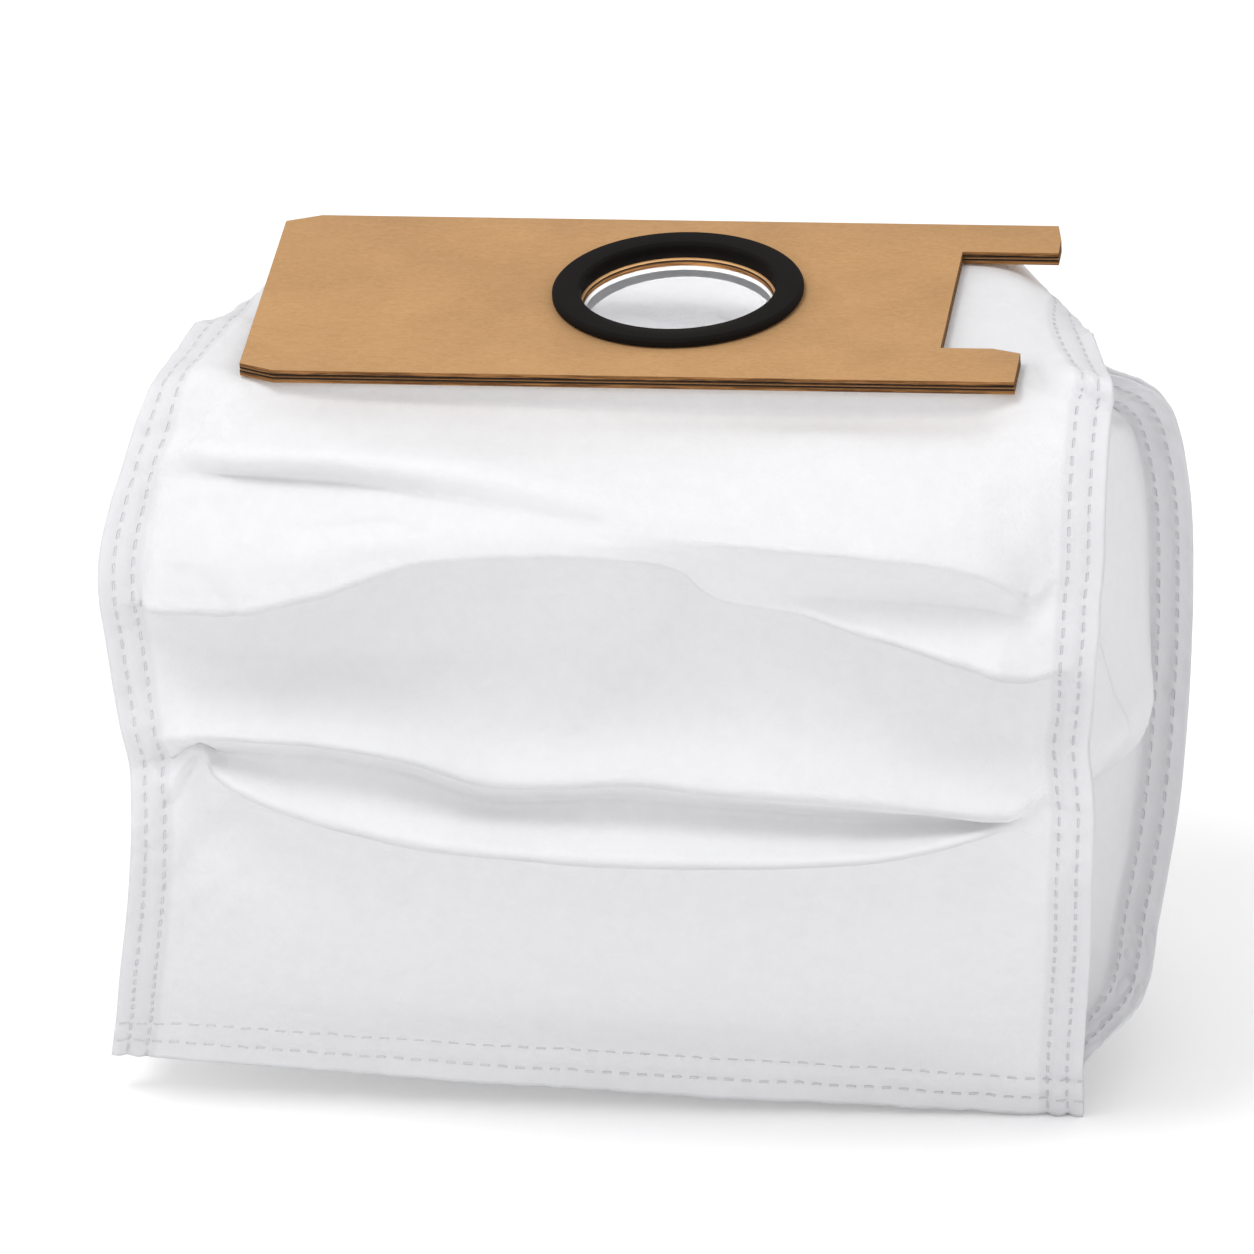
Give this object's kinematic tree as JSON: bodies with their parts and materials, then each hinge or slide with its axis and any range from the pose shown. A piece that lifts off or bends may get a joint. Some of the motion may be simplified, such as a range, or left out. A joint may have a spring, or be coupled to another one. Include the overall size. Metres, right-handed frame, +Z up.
{
  "type": "vacuum dust bag",
  "caption": "White nonwoven gusseted dust bag under a two-ply kraft collar card with a notched end and a black rubber seal ring round its inlet.",
  "frame": {"origin": "middle of the collar card's closed end, on the card's top face", "axes": "+X along the card from its closed end to its notched end, +Y from the front of the bag to its back, +Z up, out of the inlet; the bag hangs below the card"},
  "size_m": [0.2313, 0.1327, 0.188],
  "materials": {
    "kraft_face": "matte",
    "kraft_core": "matte",
    "seal_rubber": "matte",
    "nonwoven": "matte"
  },
  "bodies": {
    "root": {"upper_card": "kraft_face", "lower_card": "kraft_core", "seal_ring": "seal_rubber", "front_panel": "nonwoven", "rear_panel": "nonwoven", "left_gusset": "nonwoven", "right_gusset": "nonwoven"}
  },
  "joints": []
}
